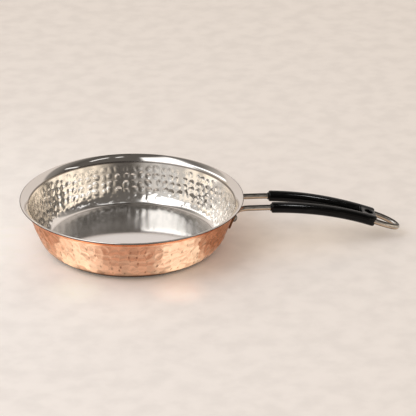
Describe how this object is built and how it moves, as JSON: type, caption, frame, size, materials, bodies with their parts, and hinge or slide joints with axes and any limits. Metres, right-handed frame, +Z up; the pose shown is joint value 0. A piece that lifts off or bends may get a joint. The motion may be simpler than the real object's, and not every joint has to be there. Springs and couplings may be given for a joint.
{
  "type": "frying pan",
  "caption": "Hammered copper frying pan with a steel liner, flared rim and a riveted wire handle in a twin moulded grip.",
  "frame": {"origin": "centre of the flat underside of the copper shell", "axes": "+Z up out of the pan, +X along the handle, away from the pan"},
  "size_m": [0.4107, 0.24, 0.0563],
  "materials": {
    "copper": "polished hammered copper",
    "liner_steel": "bright hammered steel with a satin floor",
    "core_aluminium": "plain milled",
    "wire_steel": "drawn wire, dull bright",
    "grip_plastic": "glossy black moulding",
    "rivet_steel": "bright domed rivet"
  },
  "bodies": {
    "root": {"copper_shell": "copper", "steel_liner": "liner_steel", "heat_core": "core_aluminium", "handle_wire": "wire_steel", "grip": "grip_plastic", "front_rivet": "rivet_steel", "rear_rivet": "rivet_steel"}
  },
  "joints": []
}
